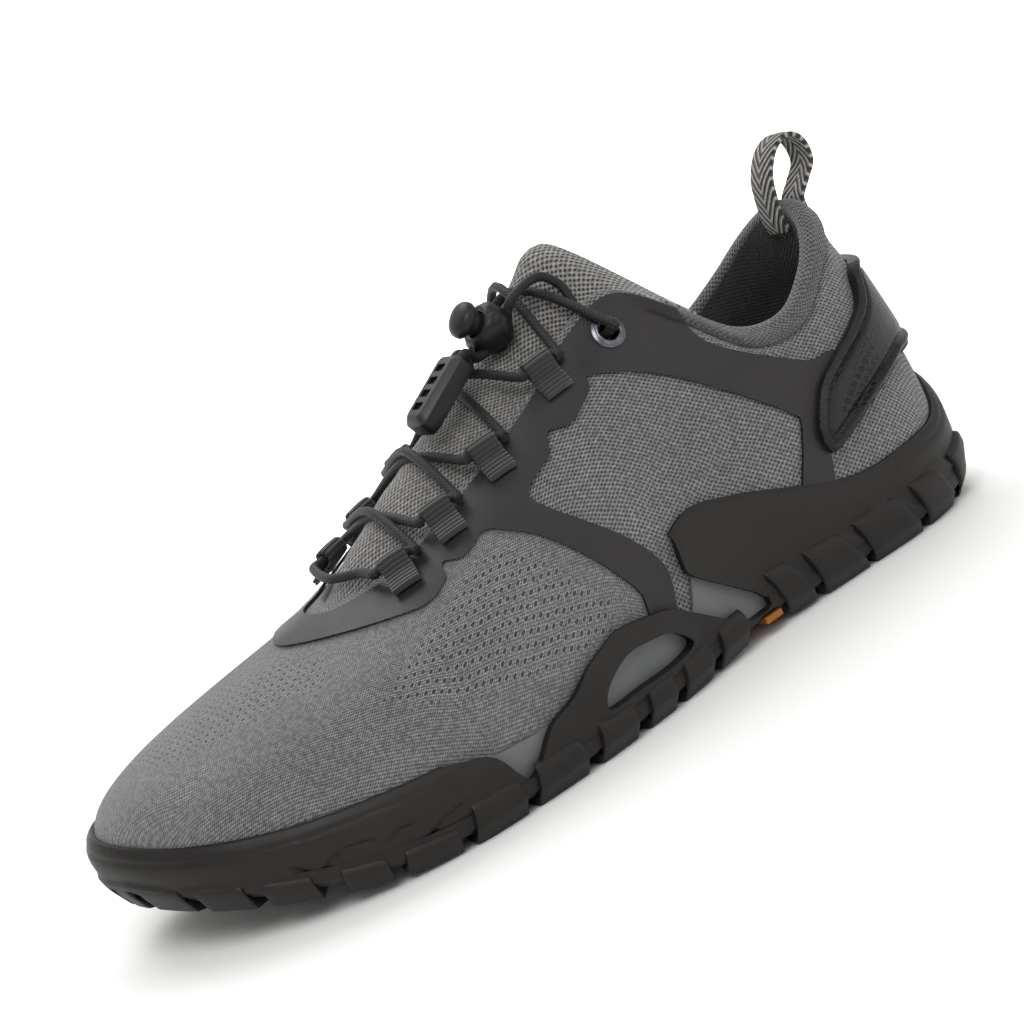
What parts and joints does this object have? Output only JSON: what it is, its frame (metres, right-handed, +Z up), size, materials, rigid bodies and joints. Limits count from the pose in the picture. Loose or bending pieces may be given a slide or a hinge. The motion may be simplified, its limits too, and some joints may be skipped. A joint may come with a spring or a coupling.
{
  "type": "barefoot trail shoe",
  "caption": "Low barefoot trail shoe, left foot: hollow knit upper, film overlay, mesh tongue, elastic lace with a sprung cord lock, lugged rubber outsole.",
  "frame": {"origin": "on the floor under the middle of the heel", "axes": "+X towards the heel, the toe points to -X; -Y is the outer (lateral) side and +Y the inner (medial) side; +Z up"},
  "size_m": [0.2896, 0.1038, 0.1215],
  "materials": {
    "knit": "grey flecked knit",
    "mesh": "open grey mesh",
    "rubber": "matt black rubber",
    "orange_rubber": "matt orange rubber",
    "foam": "grey moulded foam",
    "lining": "dark cloth lining",
    "film": "thin welded black film",
    "moulded": "moulded black plastic",
    "metal": "gunmetal",
    "webbing": "black webbing",
    "cord": "black braided elastic",
    "strap": "grey herringbone webbing"
  },
  "bodies": {
    "shoe": {"upper": "knit", "outsole": "rubber", "arch_insert": "orange_rubber", "midsole": "foam", "insole": "lining", "overlay": "film", "heel_clip": "moulded", "tongue": "mesh", "eyelet_lateral": "metal", "eyelet_medial": "metal", "loop_lateral_1": "webbing", "loop_lateral_2": "webbing", "loop_lateral_3": "webbing", "loop_lateral_4": "webbing", "loop_medial_1": "webbing", "loop_medial_2": "webbing", "loop_medial_3": "webbing", "loop_medial_4": "webbing", "lace": "cord", "lace_end_lateral": "cord", "lace_end_medial": "cord", "lace_tail_lateral": "cord", "lace_tail_medial": "cord", "cord_lock_body": "moulded", "cord_end_clip": "moulded", "pull_loop": "strap"},
    "lock_button": {"cord_lock_button": "moulded"}
  },
  "joints": [
    {"name": "lock_button_press", "type": "slide", "parent": "shoe", "child": "lock_button", "axis": [0.7507, 0, -0.6606], "range_m": [0, 0.0025], "stiffness_N_per_m": 400}
  ]
}
